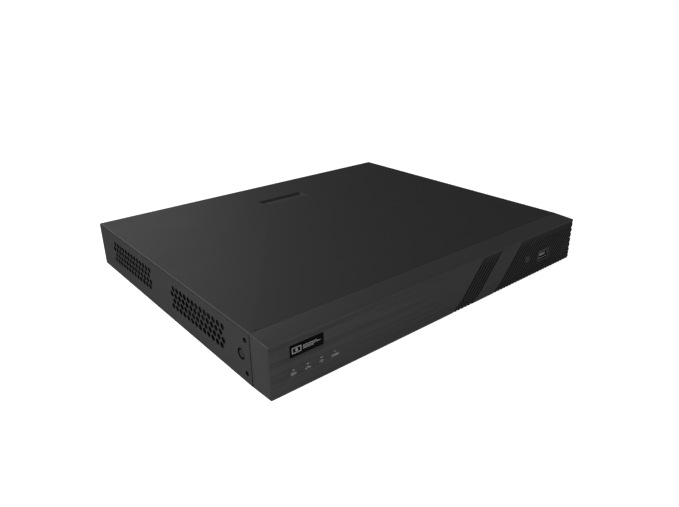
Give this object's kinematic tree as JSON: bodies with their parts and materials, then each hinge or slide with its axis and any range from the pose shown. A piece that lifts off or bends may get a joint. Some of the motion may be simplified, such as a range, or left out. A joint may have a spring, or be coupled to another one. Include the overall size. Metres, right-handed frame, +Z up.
{
  "type": "dvr recorder",
  "caption": "Low black recorder box with a folded cover, slotted vents, ribbed front bezel, round button and USB port; lift-off cover over two drives.",
  "frame": {"origin": "on the floor under the feet, at the middle of the whole outline in width and depth", "axes": "+Z up, front face towards -Y, +X to the right as seen from the front"},
  "size_m": [0.38, 0.325, 0.052],
  "materials": {
    "chassis_tray": "fine powder coat",
    "rear_panel": "fine powder coat",
    "top_cover": "fine powder coat",
    "cover_side_screws": "bare sheet or plated steel",
    "cover_nuts": "plain brass",
    "cover_rear_screws": "bare sheet or plated steel",
    "front_bezel": "fine satin",
    "front_window": "gloss",
    "light_pipes": "gloss",
    "status_leds": "gloss",
    "remote_receiver": "gloss",
    "led_board": "fine satin",
    "usb_board": "fine satin",
    "power_button": "fine satin",
    "button_switch": "fine satin",
    "switch_plunger": "fine satin",
    "front_usb_shell": "bare sheet or plated steel",
    "front_usb_tongue": "fine satin",
    "front_board_screws": "bare sheet or plated steel",
    "case_screws": "bare sheet or plated steel",
    "led_cable": "fine satin",
    "usb_cable": "fine satin",
    "main_board": "fine satin",
    "board_standoffs": "plain brass",
    "board_screws": "bare sheet or plated steel",
    "video_chip": "fine satin",
    "heat_sink": "cast or anodised",
    "memory_chips": "fine satin",
    "capacitors": "cast or anodised",
    "cell_holder": "fine satin",
    "coin_cell": "bare sheet or plated steel",
    "drive_sockets": "fine satin",
    "drive_1_casting": "cast or anodised",
    "drive_1_lid": "bare sheet or plated steel",
    "drive_1_board": "fine satin",
    "drive_2_casting": "cast or anodised",
    "drive_2_lid": "bare sheet or plated steel",
    "drive_2_board": "fine satin",
    "drive_screws": "bare sheet or plated steel",
    "drive_data_cables": "fine satin",
    "drive_power_cable": "fine satin",
    "bnc_housing": "fine satin",
    "bnc_shells": "bright nickel",
    "bnc_insulators": "fine satin",
    "bnc_pins": "plain brass",
    "audio_jacks": "bright nickel",
    "vga_port": "fine satin",
    "hdmi_port": "bare sheet or plated steel",
    "lan_port": "bare sheet or plated steel",
    "rear_usb_ports": "bare sheet or plated steel",
    "alarm_terminals": "fine satin",
    "power_jack": "fine satin",
    "switch_housing": "fine satin",
    "switch_rocker": "fine satin",
    "ground_screw": "plain brass",
    "fan_frame": "fine satin",
    "fan_rotor": "fine satin",
    "fan_screws": "bare sheet or plated steel",
    "fan_lead": "fine satin",
    "rubber_feet": "matt rubber"
  },
  "bodies": {
    "case": {"chassis_tray": "chassis_tray", "rear_panel": "rear_panel", "front_bezel": "front_bezel", "front_window": "front_window", "light_pipes": "light_pipes", "status_leds": "status_leds", "remote_receiver": "remote_receiver", "led_board": "led_board", "usb_board": "usb_board", "button_switch": "button_switch", "front_usb_shell": "front_usb_shell", "front_usb_tongue": "front_usb_tongue", "front_board_screws": "front_board_screws", "case_screws": "case_screws", "led_cable": "led_cable", "usb_cable": "usb_cable", "main_board": "main_board", "board_standoffs": "board_standoffs", "board_screws": "board_screws", "video_chip": "video_chip", "heat_sink": "heat_sink", "memory_chips": "memory_chips", "capacitors": "capacitors", "cell_holder": "cell_holder", "coin_cell": "coin_cell", "drive_sockets": "drive_sockets", "drive_1_casting": "drive_1_casting", "drive_1_lid": "drive_1_lid", "drive_1_board": "drive_1_board", "drive_2_casting": "drive_2_casting", "drive_2_lid": "drive_2_lid", "drive_2_board": "drive_2_board", "drive_screws": "drive_screws", "drive_data_cables": "drive_data_cables", "drive_power_cable": "drive_power_cable", "bnc_housing": "bnc_housing", "bnc_shells": "bnc_shells", "bnc_insulators": "bnc_insulators", "bnc_pins": "bnc_pins", "audio_jacks": "audio_jacks", "vga_port": "vga_port", "hdmi_port": "hdmi_port", "lan_port": "lan_port", "rear_usb_ports": "rear_usb_ports", "alarm_terminals": "alarm_terminals", "power_jack": "power_jack", "switch_housing": "switch_housing", "ground_screw": "ground_screw", "fan_frame": "fan_frame", "fan_screws": "fan_screws", "fan_lead": "fan_lead", "rubber_feet": "rubber_feet"},
    "cover": {"top_cover": "top_cover", "cover_side_screws": "cover_side_screws", "cover_nuts": "cover_nuts", "cover_rear_screws": "cover_rear_screws"},
    "button": {"power_button": "power_button", "switch_plunger": "switch_plunger"},
    "rocker": {"switch_rocker": "switch_rocker"},
    "rotor": {"fan_rotor": "fan_rotor"}
  },
  "joints": [
    {"name": "cover_lift", "type": "slide", "parent": "case", "child": "cover", "axis": [0, 0, 1], "range_m": [0, 0.15]},
    {"name": "button_press", "type": "slide", "parent": "case", "child": "button", "axis": [0, 1, 0], "range_m": [0, 0.0006], "stiffness_N_per_m": 600},
    {"name": "rocker_swing", "type": "hinge", "parent": "case", "child": "rocker", "pos_m": [0.1335, 0.1498, 0.0316], "axis": [1, 0, 0], "range_deg": [-14, 0]},
    {"name": "fan_spin", "type": "hinge", "parent": "case", "child": "rotor", "pos_m": [0.163, 0.14515, 0.0297], "axis": [0, 1, 0], "continuous": true}
  ]
}
